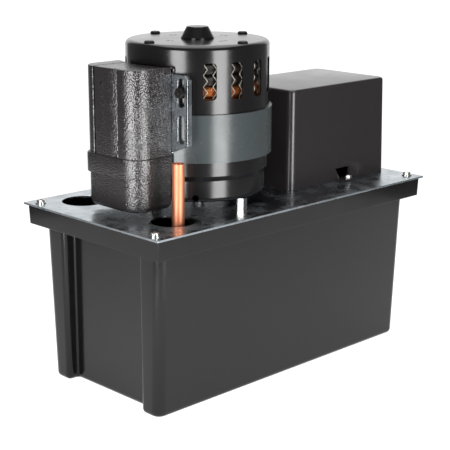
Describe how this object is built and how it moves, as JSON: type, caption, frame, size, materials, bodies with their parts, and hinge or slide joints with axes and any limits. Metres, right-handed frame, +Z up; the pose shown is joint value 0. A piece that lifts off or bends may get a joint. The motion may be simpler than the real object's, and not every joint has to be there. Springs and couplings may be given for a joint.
{
  "type": "condensate pump",
  "caption": "Upright condensate pump: a moulded tank under a sheet lid with inlet holes, a vertical motor, a float switch under a cover and a copper outlet tube.",
  "frame": {"origin": "middle of the tank's foot, on the surface that it stands on", "axes": "+Z up, X along the tank with the switch cover towards +X, Y across it"},
  "size_m": [0.311, 0.162, 0.2846],
  "materials": {
    "tank_plastic": "moulded, satin gloss",
    "galvanised": "galvanised sheet, semi-bright",
    "plated_screw": "plated, dull",
    "shell_enamel": "black gloss enamel on drawn steel",
    "laminations": "grey paint on stacked laminations",
    "winding": "varnished copper wire",
    "zinc": "bright zinc plate",
    "rotor_casting": "cast end rings on a turned core",
    "shaft_steel": "ground steel",
    "bearing_bronze": "sintered bronze",
    "box_plastic": "moulded, fine wrinkle texture",
    "dark_screw": "black oxide",
    "relay_case": "moulded phenolic",
    "pump_plastic": "moulded, glass filled",
    "copper": "bare drawn copper tube",
    "brass": "turned brass",
    "float_plastic": "closed foam moulding",
    "cover_plastic": "moulded, smooth satin"
  },
  "bodies": {
    "root": {"tank": "tank_plastic", "lid_plate": "galvanised", "lid_screws": "plated_screw", "motor_top_shell": "shell_enamel", "motor_bottom_shell": "shell_enamel", "stator_stack": "laminations", "upper_winding": "winding", "lower_winding": "winding", "motor_bolts": "plated_screw", "motor_spacers": "zinc", "motor_nuts": "zinc", "shaft_cap": "shell_enamel", "upper_bearing": "bearing_bronze", "lower_bearing": "bearing_bronze", "junction_box_base": "box_plastic", "junction_box_back": "box_plastic", "junction_box_cover": "box_plastic", "junction_box_bracket": "galvanised", "bracket_screws": "dark_screw", "start_relay": "relay_case", "pump_column": "pump_plastic", "volute": "pump_plastic", "inlet_screen": "pump_plastic", "pump_screws": "shaft_steel", "discharge_tube": "copper", "tube_nut": "brass", "rod_guide": "pump_plastic", "control_box": "cover_plastic", "control_box_screws": "dark_screw", "float_switch": "relay_case", "switch_bracket": "galvanised", "switch_screws": "zinc", "lever_pin": "shaft_steel"},
    "rotating": {"motor_shaft": "shaft_steel", "rotor": "rotor_casting", "impeller": "pump_plastic", "impeller_screw": "shaft_steel", "thrust_washers": "shaft_steel"},
    "float_body": {"float": "float_plastic", "float_rod": "shaft_steel", "rod_collars": "pump_plastic"},
    "lever_body": {"switch_lever": "zinc"},
    "button_body": {"switch_button": "relay_case"}
  },
  "joints": [
    {"name": "shaft_spin", "type": "hinge", "parent": "root", "child": "rotating", "pos_m": [-0.0405, 0, 0.15], "axis": [0, 0, 1], "continuous": true},
    {"name": "float_rise", "type": "slide", "parent": "root", "child": "float_body", "axis": [0, 0, 1], "range_m": [0, 0.024]},
    {"name": "lever_swing", "type": "hinge", "parent": "root", "child": "lever_body", "pos_m": [0.046, 0, 0.1775], "axis": [0, -1, 0], "range_deg": [0, 25.68]},
    {"name": "button_press", "type": "slide", "parent": "root", "child": "button_body", "axis": [0, 0, -1], "range_m": [0, 0.00267]}
  ],
  "couplings": [
    {"joint": "lever_swing", "follows": "float_rise", "rad_per_m": 18.674},
    {"joint": "button_press", "follows": "float_rise", "ratio": 0.11111}
  ]
}
